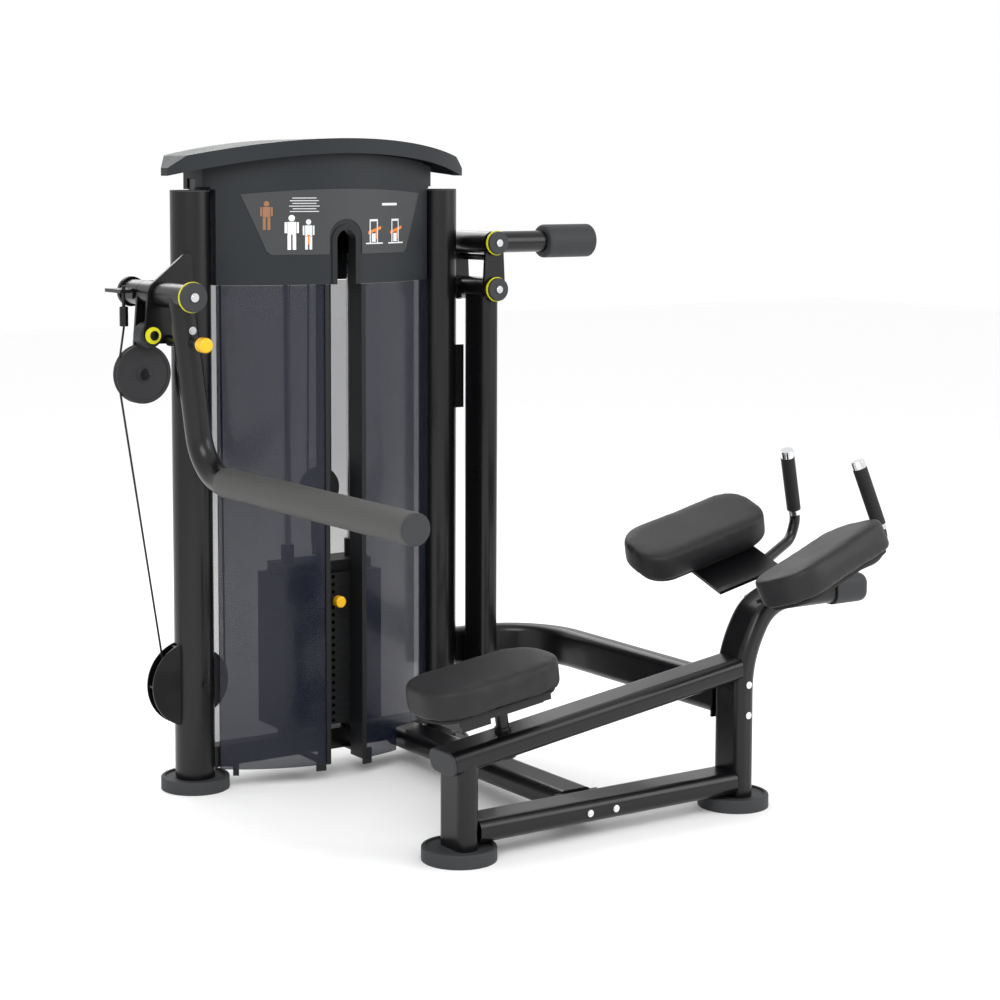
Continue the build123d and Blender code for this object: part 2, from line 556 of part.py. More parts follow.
def build_press_arm():
    hub = along_y(PIVOT_X, PIVOT_Z, -203, -60.2, HUB_D / 2, SHAFT_D / 2 + 0.05)
    foot = (arm_foot_x(), ARM_Y, ROLLER_Z)
    path = FilletPolyline((PIVOT_X, ARM_Y, PIVOT_Z), foot, (foot[0], ROLLER_START_Y, foot[2]),
                          radius=98)
    plane = Plane(origin=(PIVOT_X, ARM_Y, PIVOT_Z), z_dir=path.tangent_at(0))
    tube = sweep(plane * Circle(ARM_D / 2), path=path)
    tube -= sweep(plane * Circle(ARM_D / 2 - 4), path=path)
    tube -= along_y(PIVOT_X, PIVOT_Z, -220, -40, HUB_D / 2)
    tube = largest(tube)
    spindle = along_y(foot[0], foot[2], ROLLER_START_Y, ROLLER_START_Y - ROLLER_LENGTH, 25, 20)
    spindle += along_y(foot[0], foot[2], ROLLER_START_Y, ROLLER_START_Y + 18, ARM_D / 2 - 4, 20)
    barrel_at = arm_point(HOLE_RADIUS)
    barrel = along_y(barrel_at[0], barrel_at[1], -184, -62, 13, 6.05)
    tube -= along_y(barrel_at[0], barrel_at[1], -190, -60, 13)
    keep("arm_hub", hub)
    keep("press_arm", tube)
    keep("roller_spindle", spindle)
    keep("pin_barrel", barrel)
    knob_from = -212.0
    pin = along_y(barrel_at[0], barrel_at[1], knob_from, CAM_Y - 0.5, 6.0)
    pin += along_y(barrel_at[0], barrel_at[1], knob_from, -187, 8.0)
    keep("pull_pin", pin)
    keep("pull_pin_knob", fillet(along_y(barrel_at[0], barrel_at[1], knob_from - 32,
                                         knob_from, 17).edges(), 7))
    upper = arm_point(HOLE_RADIUS - 30)
    keep("arm_bolt", bolt((upper[0], ARM_Y - ARM_D / 2 - 0.05, upper[1]), (0, -1, 0), 9))
    sleeve = along_y(foot[0], foot[2], ROLLER_START_Y - 1, ROLLER_START_Y - ROLLER_LENGTH,
                     ROLLER_D / 2, 25.3)
    keep("roller_sleeve", sleeve)
    end = along_y(foot[0], foot[2], ROLLER_START_Y - ROLLER_LENGTH - 6.5,
                  ROLLER_START_Y - ROLLER_LENGTH - 0.5, ROLLER_D / 2 - 1)
    end = fillet(end.edges(), 2)
    end += along_y(foot[0], foot[2], ROLLER_START_Y - ROLLER_LENGTH - 0.5,
                   ROLLER_START_Y - ROLLER_LENGTH + 30, 19.95)
    keep("roller_end_cap", end)


def arm_point(distance):
    """Point (x, z) on the arm's centre line at a distance from the pivot."""
    angle = math.radians(ARM_LEAN + 1.0)
    return PIVOT_X + distance * math.sin(angle), PIVOT_Z - distance * math.cos(angle)


# ---- counterbalance lever -----------------------------------------------------------------
def build_counter_lever():
    post_top = COUNTER_LOW_Z - HUB_D / 2
    post = oval_tube((COUNTER_X, RIGHT_POST_Y, 205), (COUNTER_X, RIGHT_POST_Y, post_top + 20), (0, 1, 0))
    post -= along_y(COUNTER_X, COUNTER_LOW_Z, -300, 300, HUB_D / 2)
    keep("right_post", post)
    keep("right_post_plug", oval_tube((COUNTER_X, RIGHT_POST_Y, 205), (COUNTER_X, RIGHT_POST_Y, 209),
                                      (0, 1, 0), TUBE_WALL + 0.1, hollow=False))
    tie = block((COLUMN_SPACING + 20, COUNTER_X - TUBE_THIN / 2), (-34, -26), (860, 1016))
    keep("post_tie", largest(tie - column_envelope(COLUMN_SPACING)))
    boss = along_y(COUNTER_X, COUNTER_LOW_Z, -122, 20, HUB_D / 2, SHAFT_D / 2)
    web = block((COLUMN_SPACING + 20, COUNTER_X), (-8, 8), (COUNTER_LOW_Z - 26, COUNTER_LOW_Z + 26))
    web -= along_y(COUNTER_X, COUNTER_LOW_Z, -50, 50, HUB_D / 2)
    keep("counter_boss", boss)
    keep("counter_web", largest(web - column_envelope(COLUMN_SPACING)))
    shaft = along_y(COUNTER_X, COUNTER_LOW_Z, -142, 38, SHAFT_D / 2)
    keep("counter_shaft", shaft)
    links = []
    for y in (-132.0, 24.0):
        link = rounded_plate_xz([(COUNTER_X, COUNTER_LOW_Z, 31), (COUNTER_X, COUNTER_HIGH_Z, 25)],
                                y, y + 8)
        for z in (COUNTER_LOW_Z, COUNTER_HIGH_Z):
            link -= along_y(COUNTER_X, z, y - 1, y + 9, SHAFT_D / 2)
        links.append(link)
    stop = along_y(COUNTER_X + 14, COUNTER_HIGH_Z - 37, -124, 24, 8)
    keep("link_plates", solids(*links))
    keep("lever_stop", stop)
    tube = along_y(COUNTER_X, COUNTER_HIGH_Z, -122, 22, HUB_D / 2 - 1, SHAFT_D / 2 + 0.05)
    keep("lever_hub", tube)
    keep("lever_shaft", along_y(COUNTER_X, COUNTER_HIGH_Z, -142, 40, SHAFT_D / 2))
    lever_at = (-75, COUNTER_HIGH_Z)
    arm = rod((COUNTER_X, *lever_at), (COUNTERWEIGHT_X[0] + 110, *lever_at), 26.5, 22)
    arm -= along_y(COUNTER_X, COUNTER_HIGH_Z, -200, 100, HUB_D / 2 - 1)
    keep("lever_arm", max(arm.solids(), key=lambda s: s.center().X))
    weight = rod((COUNTERWEIGHT_X[0], *lever_at), (COUNTERWEIGHT_X[1], *lever_at), 41.5)
    weight = fillet(weight.edges(), 7) - rod(
        (COUNTER_X + 100, *lever_at), (COUNTERWEIGHT_X[0] + 110, *lever_at), 26.5)
    keep("counterweight", weight)
    caps, washers = [], []
    for z in (COUNTER_LOW_Z, COUNTER_HIGH_Z):
        caps.append(fillet(along_y(COUNTER_X, z, -151, -142.2, 28).edges(), 2))
        washers.append(along_y(COUNTER_X, z, -142.0, -139.2, 30, SHAFT_D / 2))
        washers.append(along_y(COUNTER_X, z, -138.9, -132.1, 26, SHAFT_D / 2))
    keep("low_shaft_cap", caps[0])
    keep("high_shaft_cap", caps[1])
    keep("shaft_washers", solids(*washers))

# ---- bench frame --------------------------------------------------------------------------
def upper_beam_z(x):
    """Height of the upper beam's centre line."""
    return UPPER_BEAM_END_Z + (x - UPPER_BEAM_END_X) * math.tan(math.radians(UPPER_BEAM_SLOPE))


def bench_post_path():
    """Centre line of the rear post: upright, leaning forward, then level under the pads."""
    return [(REAR_POST_X, BENCH_Y, POCKET_Z), (REAR_POST_X, BENCH_Y, 345),
            (REAR_POST_X + 72, BENCH_Y, REAR_POST_TOP), (1300, BENCH_Y, REAR_POST_TOP)]


def build_bench():
    sideways = (0, 1, 0)
    upper_from = (UPPER_BEAM_END_X, BENCH_Y, UPPER_BEAM_END_Z)
    post_face = REAR_POST_X - TUBE_THIN / 2
    path = bench_post_path()
    post = bent_oval_tube(path, REAR_POST_RADII, sideways)
    outer_post = sweep(Plane(origin=path[0], x_dir=sideways, z_dir=(0, 0, 1)) * oval_section(),
                       path=FilletPolyline(*path, radius=REAR_POST_RADII))
    keep("rear_post", post)
    upper = oval_tube(upper_from, (REAR_POST_X, BENCH_Y, upper_beam_z(REAR_POST_X)), sideways)
    keep("upper_beam", largest(upper - outer_post - block((post_face + 10, 1200), (-900, -700), (0, 600))))
    beam_space = oval_tube(upper_from, (REAR_POST_X, BENCH_Y, upper_beam_z(REAR_POST_X)), sideways,
                           hollow=False)
    front = oval_tube((FRONT_POST_X, BENCH_Y, POCKET_Z), (FRONT_POST_X, BENCH_Y, 240), sideways)
    keep("front_post", lowest(front - beam_space))
    lower = oval_tube((FRONT_POST_X + TUBE_THIN / 2, BENCH_Y, LOWER_BEAM_Z),
                      (post_face, BENCH_Y, LOWER_BEAM_Z), sideways)
    keep("lower_beam", lower)
    slope = math.radians(UPPER_BEAM_SLOPE)
    axis = Vector(-math.cos(slope), 0, -math.sin(slope))
    cap_plane = Plane(origin=upper_from, x_dir=sideways, z_dir=axis)
    cap = extrude(cap_plane * oval_section(-0.5), amount=7)
    cap = fillet(cap.faces().sort_by(Axis.X)[0].edges(), 3)
    cap += extrude(cap_plane * oval_section(TUBE_WALL + 0.1), amount=-16)
    keep("beam_cap", cap)
    end = Vector(*path[-1])
    boot_plane = Plane(origin=end + Vector(34, 0, 4), x_dir=sideways, z_dir=(1, 0, 0))
    boot = extrude(boot_plane * RectangleRounded(105, 68, 24), amount=-102)
    boot = fillet(boot.faces().sort_by(Axis.X)[-1].edges(), 20)
    end_plane = Plane(origin=end, x_dir=sideways, z_dir=(1, 0, 0))
    keep("rear_post_cap", boot - extrude(end_plane * oval_section(), amount=-80))


def lowest(shape):
    """The lowest solid of a shape."""
    return min(shape.solids(), key=lambda s: s.center().Z)


def build_links():
    back_of_beam = BENCH_Y + TUBE_WIDE / 2
    cross = oval_tube((CROSS_TUBE_X, back_of_beam + 6, LOWER_BEAM_Z),
                      (CROSS_TUBE_X, -34, LOWER_BEAM_Z), (1, 0, 0))
    keep("cross_tube", cross)
    half = TUBE_WIDE / 2 + 10
    flange = block((CROSS_TUBE_X - half, CROSS_TUBE_X + half), (back_of_beam, back_of_beam + 6),
                   (LOWER_BEAM_Z - 20, LOWER_BEAM_Z + 20))
    tower_flange = block((CROSS_TUBE_X - half - 9, CROSS_TUBE_X + half + 9), (-34, -BEAM_HALF), (48, 90))
    keep("cross_tube_flanges", solids(flange, tower_flange))
    rear_x = REAR_POST_X
    column_side = COLUMN_SPACING + COLUMN_D / 2 - 8
    tube = bent_oval_tube([(column_side, 0, REAR_TUBE_Z), (rear_x, 0, REAR_TUBE_Z),
                           (rear_x, back_of_beam + 6, REAR_TUBE_Z)], REAR_TUBE_BEND, (0, 0, 1))
    tube -= column_envelope(COLUMN_SPACING)
    tube -= oval_tube((COUNTER_X, RIGHT_POST_Y, 180), (COUNTER_X, RIGHT_POST_Y, 400), (0, 1, 0), hollow=False)
    keep("rear_tube", largest(tube))
    rear_flange = block((rear_x - 25, rear_x + 25), (back_of_beam, back_of_beam + 6),
                        (REAR_TUBE_Z - 55, REAR_TUBE_Z + 55))
    keep("rear_tube_flange", rear_flange)


# ---- knee pad -----------------------------------------------------------------------------
def pad_solid(length, width, thickness, corner, plane, inset=0.0):
    """Plain rounded cushion, its top face in the given plane."""
    face = RectangleRounded(length - 2 * inset, width - 2 * inset, corner - inset)
    body = extrude(plane * face, amount=-thickness)
    top = body.faces().sort_by_distance(plane.origin)[0]
    return fillet(top.edges(), 8)


def build_knee_pad():
    x, z, length, width, thickness = KNEE_PAD
    slope = UPPER_BEAM_SLOPE
    top = Plane(origin=(x, BENCH_Y, z)).rotated((0, -slope, 0))
    cushion_t = thickness - BOARD_T
    keep("knee_cushion", pad_solid(length, width, cushion_t, width / 2 - 14, top))
    under = top.offset(-cushion_t)
    keep("knee_board", extrude(under * RectangleRounded(length - 30, width - 30, 66), amount=-BOARD_T))
    base = top.offset(-thickness)
    rails = [base * Pos(10, s * 42, -9) * Box(236, 34, 18) for s in (-1, 1)]
    rails.append(base * Pos(-62, 0, -25) * Box(74, 104, 14))
    keep("knee_pad_rails", solids(*rails))
    plate = base * Pos(60, 0, -21) * Box(110, 96, 6)
    keep("knee_pad_plate", plate)
    beam_axis = Plane(origin=(KNEE_POST_X, BENCH_Y, upper_beam_z(KNEE_POST_X))).rotated((0, -slope, 0))
    half = TUBE_THIN / 2
    gap = (Vector(x, BENCH_Y, z) - beam_axis.origin).dot(beam_axis.z_dir) - thickness - 24 - half
    keep("knee_pad_stub", extrude(beam_axis.offset(half) * Circle(14), amount=gap))
    keep("knee_pad_collar", solids(
        extrude(beam_axis.offset(half) * (Circle(18) - Circle(14)), amount=9),
        extrude(beam_axis.offset(-half - 8) * Circle(22), amount=8)))


# ---- elbow pads and handles ---------------------------------------------------------------
def elbow_plane(side):
    """Top plane of an elbow pad: side is +1 for the far pad and -1 for the near one."""
    x, half_spacing, z = ELBOW_PAD[:3]
    rise, roll, toe = ELBOW_TILT
    base = Plane(origin=(x, BENCH_Y + side * half_spacing, z))
    turn = Rotation(0, 0, side * toe) * Rotation(0, -rise, 0) * Rotation(side * roll, 0, 0)
    location = Location(base.origin) * turn
    return Plane(location)


def build_elbow_pads():
    length, width, thickness = ELBOW_PAD[3:]
    boards = []
    for side, name in ((1, "elbow_cushion_far"), (-1, "elbow_cushion_near")):
        top = elbow_plane(side)
        keep(name, pad_solid(length, width, thickness - BOARD_T, 68, top))
        under = top.offset(BOARD_T - thickness)
        boards.append(extrude(under * RectangleRounded(length - 30, width - 30, 56), amount=-BOARD_T))
    keep("elbow_boards", solids(*boards))


def build_elbow_bracket():
    path = FilletPolyline(*bench_post_path(), radius=REAR_POST_RADII)
    start = Plane(origin=bench_post_path()[0], x_dir=(0, 1, 0), z_dir=(0, 0, 1))
    post = sweep(start * oval_section(), path=path)
    thickness = ELBOW_PAD[5]
    wings = []
    for side in (1, -1):
        wing = elbow_plane(side).offset(-thickness) * Pos(30, -side * 78, -4) * Box(170, 210, 8)
        wings.append(largest(wing - post))
    top_z = REAR_POST_TOP + TUBE_THIN / 2
    saddle = block((1032, 1168), (BENCH_Y - 62, BENCH_Y + 62), (top_z - 30, top_z + 34))
    saddle -= post
    for side in (1, -1):
        above = elbow_plane(side).offset(-thickness - 8)
        saddle -= extrude(above * Rectangle(900, 900), amount=200)
    keep("elbow_wings", solids(*wings))
    keep("elbow_saddle", saddle)


def handle_points(side):
    """Corner points of a handle, from under the pad to the top of its grip."""
    mid = [(1098, 100, 508), (1262, 147, 566), (1277, 147, 612), (1222, 119, 783)]
    return [(x, BENCH_Y + side * y, z) for x, y, z in mid]


def build_handles():
    tubes, grips, rings = [], [], []
    for side in (1, -1):
        points = handle_points(side)
        path = FilletPolyline(*points, radius=[42, 38])
        plane = Plane(origin=points[0], z_dir=path.tangent_at(0))
        tubes.append(sweep(plane * Circle(12.5), path=path))
        low, high = Vector(*points[2]), Vector(*points[3])
        axis = (high - low).normalized()
        length = (high - low).length
        grip_from = low + axis * 30
        grips.append(rod(tuple(grip_from), tuple(low + axis * (length - 14)), 16.5, 12.5))
        rings.append(rod(tuple(low + axis * 18), tuple(grip_from), 15.5, 12.5))
        rings.append(rod(tuple(low + axis * (length - 14)), tuple(low + axis * (length + 1)), 16, 12.5))
        rings.append(rod(tuple(low + axis * (length + 1)), tuple(low + axis * (length + 4)), 15))
    keep("handle_bars", solids(*tubes))
    keep("handle_grips", solids(*grips))
    keep("handle_ferrules", solids(*rings))


# ---- cable --------------------------------------------------------------------------------
def tangent_points(c1, r1, c2, r2):
    """Left-hand tangent between two circles in the XZ plane, from the upper to the lower."""
    dx, dz = c2[0] - c1[0], c2[1] - c1[1]
    dist = math.hypot(dx, dz)
    along = (dx / dist, dz / dist)
    left = (along[1], -along[0])
    lean = (r1 - r2) / dist
    side = math.sqrt(1 - lean * lean)
    normal = (lean * along[0] + side * left[0], lean * along[1] + side * left[1])
    return tuple((c[0] + r * normal[0], c[1] + r * normal[1]) for c, r in ((c1, r1), (c2, r2)))


def cable_tube(edges):
    """Round cable along joined edges in the XZ plane."""
    path = Wire(edges)
    start = path.position_at(0)
    plane = Plane(origin=start, z_dir=path.tangent_at(0))
    return sweep(plane * Circle(CABLE_D / 2), path=path)


def at(point):
    """Point on the cable's plane."""
    return (point[0], 0.0, point[1])


def arc_between(centre, radius, start, end, middle_angle):
    """Arc round a pulley through a middle point at the given angle in degrees."""
    angle = math.radians(middle_angle)
    middle = (centre[0] + radius * math.cos(angle), centre[1] + radius * math.sin(angle))
    return ThreePointArc(at(start), at(middle), at(end))


def build_cables():
    swing = (SWING_PULLEY_X, SWING_PULLEY_Z)
    floor = (FLOOR_PULLEY_X, FLOOR_PULLEY_Z)
    r_swing, r_floor = SWING_GROOVE_R + CABLE_D / 2 + 0.2, FLOOR_GROOVE_R + CABLE_D / 2 + 0.2
    anchor = (-170.0, 1091.6)
    top_left, top_right = [(x, TOP_PULLEY_Z) for x in top_pulley_x()]
    r_top = TOP_GROOVE_R + CABLE_D / 2 + 0.2
    first = tangent_points(anchor, 0.0, swing, r_swing)
    second = tangent_points(swing, r_swing, floor, r_floor)
    keep("lever_cable", cable_tube([
        Line(at(anchor), at(first[1])),
        arc_between(swing, r_swing, first[1], second[0], 180),
        Line(at(second[0]), at(second[1]))]))
    up_x = floor[0] + r_floor
    left_x, right_x = top_left[0] - r_top, top_right[0] + r_top
    keep("tower_cable", cable_tube([
        arc_between(floor, r_floor, second[1], (up_x, floor[1]), 270),
        Line(at((up_x, floor[1])), at((left_x, TOP_PULLEY_Z))),
        arc_between(top_left, r_top, (left_x, TOP_PULLEY_Z), (top_left[0], TOP_PULLEY_Z + r_top), 135),
        Line(at((top_left[0], TOP_PULLEY_Z + r_top)), at((top_right[0], TOP_PULLEY_Z + r_top))),
        arc_between(top_right, r_top, (top_right[0], TOP_PULLEY_Z + r_top),
                    (right_x, TOP_PULLEY_Z), 45)]))
    r_lift = LIFT_GROOVE_R + CABLE_D / 2 + 0.2
    lift = (TOWER_MID, LIFT_PULLEY_Z)
    keep("lift_cable", cable_tube([
        Line(at((right_x, TOP_PULLEY_Z)), at((lift[0] - r_lift, lift[1]))),
        arc_between(lift, r_lift, (lift[0] - r_lift, lift[1]), (lift[0] + r_lift, lift[1]), 270),
        Line(at((lift[0] + r_lift, lift[1])), at((lift[0] + r_lift, 1299.7)))]))


# ---- fasteners ----------------------------------------------------------------------------
def build_bolts():
    bolts = []
    face_y = BENCH_Y - TUBE_WIDE / 2
    for dz in (-35, 35):
        bolts.append(bolt((REAR_POST_X, face_y, REAR_TUBE_Z + dz), (0, -1, 0)))
    for dx in (-35, 35):
        bolts.append(bolt((CROSS_TUBE_X + dx, face_y, LOWER_BEAM_Z), (0, -1, 0)))
    keep("bench_bolts", solids(*bolts))
    tower = [bolt((CROSS_TUBE_X + s * 55, -34, 69), (0, -1, 0), 7) for s in (-1, 1)]
    keep("tower_bolts", solids(*tower))
    covers = [bolt((COUNTER_X, -151, z), (0, -1, 0), 9) for z in (COUNTER_LOW_Z, COUNTER_HIGH_Z)]
    keep("shaft_cap_bolts", solids(*covers))


build_columns()
build_floor_pads()
build_tower_beams()
build_guide_rods()
build_roof()
build_head()
build_shields()
build_stack()
build_lift_pulley()
build_pulleys()
build_pivot()
build_cam()
build_press_arm()
build_counter_lever()
build_bench()
build_links()
build_knee_pad()
build_elbow_pads()
build_elbow_bracket()
build_handles()
build_cables()
build_bolts()

# ---- sub-parts that share a material and a body are filed together -------------------------
NODES = {
    "end_caps": ("column_caps", "beam_cap", "rear_post_cap", "low_shaft_cap",
                 "high_shaft_cap"),
    "tower_beams": ("base_beam", "top_beam", "rod_brackets", "shield_feet"),
    "front_trims": ("slot_frame", "shield_trims"),
    "shields": ("left_shield", "right_shield", "rear_shield"),
    "pulley_mounts": ("floor_pulley_axle", "top_pulley_brackets", "cable_end_anchor"),
    "pivot_housing": ("pivot_housing", "pivot_bushes", "cable_anchor_bracket",
                      "cable_anchor_sleeve"),
    "right_post": ("right_post", "right_post_plug", "post_tie", "counter_boss", "counter_web",
                   "counter_shaft", "link_plates", "lever_shaft", "lever_stop"),
    "bench_beams": ("front_post", "lower_beam", "upper_beam", "cross_tube",
                    "cross_tube_flanges"),
    "rear_tube": ("rear_tube", "rear_tube_flange"),
    "pad_boards": ("knee_board", "elbow_boards"),
    "knee_bracket": ("knee_pad_rails", "knee_pad_plate", "knee_pad_stub", "knee_pad_collar"),
    "elbow_bracket": ("elbow_wings", "elbow_saddle"),
    "frame_bolts": ("bench_bolts", "tower_bolts", "shaft_cap_bolts"),
    "cam_hub": ("cam_hub", "pulley_hanger", "pivot_rear_washer"),
    "cam_pins": ("pivot_shaft", "pivot_cap_bolt", "bumper_bolt", "swing_pulley_stud"),
    "cam_caps": ("pivot_end_caps", "cam_bumper"),
    "cam_washers": ("pivot_wear_washer", "bumper_washer"),
    "press_arm": ("press_arm", "arm_hub", "pin_barrel"),
    "roller_spindle": ("roller_spindle", "arm_bolt"),
    "carriage_head": ("carriage_head", "rod_collars"),
    "lift_yoke": ("lift_yoke", "lift_pulley_pin"),
    "counter_lever": ("lever_hub", "lever_arm"),
}
for node, names in NODES.items():
    members = [parts.pop(name) for name in names]
    keep(node, solids(*members))

# ---- centre the machine over its floor box and write it ------------------------------------
whole = Compound(children=[Compound(p.solids()) for p in parts.values()]).bounding_box()
SHIFT_X, SHIFT_Y = -whole.center().X, -whole.center().Y
os.makedirs("parts", exist_ok=True)
for node, shape in parts.items():
    export_step(Pos(SHIFT_X, SHIFT_Y, 0) * shape, f"parts/{node}.step")
print(f"{len(parts)} nodes, shift {SHIFT_X:.3f} {SHIFT_Y:.3f}, size {whole.size}")
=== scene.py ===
import bmesh
import bpy
import json
import math
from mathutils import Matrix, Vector


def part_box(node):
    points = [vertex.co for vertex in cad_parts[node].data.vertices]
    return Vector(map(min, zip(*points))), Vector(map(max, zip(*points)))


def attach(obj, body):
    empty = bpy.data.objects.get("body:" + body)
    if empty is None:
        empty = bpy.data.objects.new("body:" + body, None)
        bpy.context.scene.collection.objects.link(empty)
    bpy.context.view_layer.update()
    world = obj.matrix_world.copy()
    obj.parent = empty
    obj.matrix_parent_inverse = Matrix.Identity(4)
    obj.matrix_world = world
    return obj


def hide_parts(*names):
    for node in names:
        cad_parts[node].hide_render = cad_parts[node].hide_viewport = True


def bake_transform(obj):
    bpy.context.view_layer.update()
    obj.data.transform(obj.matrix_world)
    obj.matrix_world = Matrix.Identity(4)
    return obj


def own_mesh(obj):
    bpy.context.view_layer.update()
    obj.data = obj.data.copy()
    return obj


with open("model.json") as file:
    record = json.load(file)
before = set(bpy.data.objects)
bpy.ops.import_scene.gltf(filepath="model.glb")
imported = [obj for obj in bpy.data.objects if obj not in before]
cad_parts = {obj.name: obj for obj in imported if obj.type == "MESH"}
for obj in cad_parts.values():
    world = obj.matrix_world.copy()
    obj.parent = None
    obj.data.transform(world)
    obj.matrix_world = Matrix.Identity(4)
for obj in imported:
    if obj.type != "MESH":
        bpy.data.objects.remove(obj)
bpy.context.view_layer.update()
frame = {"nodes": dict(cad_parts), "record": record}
scene = bpy.context.scene
nodes = frame["nodes"]

# ---- camera -------------------------------------------------------------------------------
# A long lens at chest height, left of the machine's front, looking slightly down.
# The shift keeps the verticals upright while the machine sits low in the picture.
camera_data = bpy.data.cameras.new("camera")
camera_data.lens = 80.6
camera_data.sensor_width = 36
camera_data.shift_x = 0.0766
camera_data.shift_y = -0.1215
camera = bpy.data.objects.new("camera", camera_data)
camera.location = (-2.916, -4.1195, 1.439)
camera.rotation_euler = (math.radians(84.75), 0, math.radians(-32.82))
scene.collection.objects.link(camera)
scene.camera = camera

# ---- light and floor ----------------------------------------------------------------------
# Three soft panels round the machine, a pale world and a pale floor.
for name, place, size, power in (("key_light", (-2.6, -3.2, 3.6), 2.6, 105),
                                 ("fill_light", (2.8, -3.0, 2.6), 2.4, 60),
                                 ("back_light", (0.6, 3.2, 3.4), 2.8, 80)):
    light_data = bpy.data.lights.new(name, "AREA")
    light_data.size = size
    light_data.energy = power
    light = bpy.data.objects.new(name, light_data)
    light.location = place
    light.rotation_euler = (Vector((0, 0, 0.7)) - Vector(place)).to_track_quat("-Z", "Y").to_euler()
    scene.collection.objects.link(light)

world = bpy.data.worlds.new("studio")
world.use_nodes = True
world.node_tree.nodes["Background"].inputs["Color"].default_value = (1.0, 1.0, 1.0, 1)
world.node_tree.nodes["Background"].inputs["Strength"].default_value = 1.0
scene.world = world
scene.view_settings.view_transform = "Standard"

bpy.ops.mesh.primitive_plane_add(size=30, location=(0, 0, 0))
floor = bpy.context.object
floor.name = "floor"


# ---- materials ----------------------------------------------------------------------------
# Every finish is worked out from object coordinates in millimetres of grain. Colours are
# given as sRGB and turned into linear values once.
def linear(hex_colour, alpha=1.0):
    """Linear RGBA of a #rrggbb colour."""
    channels = [int(hex_colour[i:i + 2], 16) / 255 for i in (1, 3, 5)]
    return [c / 12.92 if c <= 0.04045 else ((c + 0.055) / 1.055) ** 2.4 for c in channels] + [alpha]


def add_node(tree, kind, links=(), **values):
    """Add a shader node, set its sockets and wire its inputs from other nodes' outputs."""
    node = tree.nodes.new(kind)
    for name, value in values.items():
        socket = name.replace("_", " ")
        if socket in node.inputs:
            node.inputs[socket].default_value = value
        else:
            setattr(node, name, value)
    for socket, source in links:
        tree.links.new(source, node.inputs[socket])
    return node


def finish(name, colour, rough, metal=0.0, grain_mm=1.0, bump_mm=0.02, spread=0.06, coat=0.0):
    """Painted, moulded or metal surface with fine grain and slightly uneven gloss."""
    made = bpy.data.materials.new(name)
    made.use_nodes = True
    tree = made.node_tree
    shader = tree.nodes["Principled BSDF"]
    place = add_node(tree, "ShaderNodeTexCoord").outputs["Object"]
    grain = add_node(tree, "ShaderNodeTexNoise", [("Vector", place)], Scale=1000 / grain_mm, Detail=3.0)
    patches = add_node(tree, "ShaderNodeTexNoise", [("Vector", place)], Scale=14.0, Detail=2.0)
    gloss = add_node(tree, "ShaderNodeMapRange", [("Value", patches.outputs["Fac"])])
    gloss.inputs["To Min"].default_value = rough - spread
    gloss.inputs["To Max"].default_value = rough + spread
    height = add_node(tree, "ShaderNodeBump", [("Height", grain.outputs["Fac"])],
                      Distance=bump_mm / 1000)
    tint = add_node(tree, "ShaderNodeMix", [("Factor", patches.outputs["Fac"])], data_type="RGBA")
    tint.inputs["A"].default_value = linear(colour)
    tint.inputs["B"].default_value = [min(1.0, c * 1.15) for c in linear(colour)]
    tree.links.new(tint.outputs["Result"], shader.inputs["Base Color"])
    tree.links.new(gloss.outputs["Result"], shader.inputs["Roughness"])
    tree.links.new(height.outputs["Normal"], shader.inputs["Normal"])
    shader.inputs["Metallic"].default_value = metal
    shader.inputs["Coat Weight"].default_value = coat
    shader.inputs["Specular IOR Level"].default_value = 0.32
    return made


def vinyl(name, colour, rough=0.42, cell_mm=1.3):
    """Upholstery vinyl: small leather cells with creases between them."""
    made = finish(name, colour, rough, grain_mm=0.5, bump_mm=0.01)
    tree = made.node_tree
    shader = tree.nodes["Principled BSDF"]
    place = add_node(tree, "ShaderNodeTexCoord").outputs["Object"]
    cells = add_node(tree, "ShaderNodeTexVoronoi", [("Vector", place)], feature="DISTANCE_TO_EDGE",
                     Scale=1000 / cell_mm)
    crease = add_node(tree, "ShaderNodeMapRange", [("Value", cells.outputs["Distance"])])
    crease.inputs["From Max"].default_value = 0.12
    height = add_node(tree, "ShaderNodeBump", [("Height", crease.outputs["Result"])],
                      Distance=0.00008, Strength=0.5)
    tree.links.new(height.outputs["Normal"], shader.inputs["Normal"])
    return made


def smoked(name, colour, alpha):
    """Tinted clear sheet: glossy on its face, see-through behind."""
    made = finish(name, colour, 0.22, grain_mm=4.0, bump_mm=0.004, spread=0.03, coat=0.1)
    made.node_tree.nodes["Principled BSDF"].inputs["Alpha"].default_value = alpha
    return made


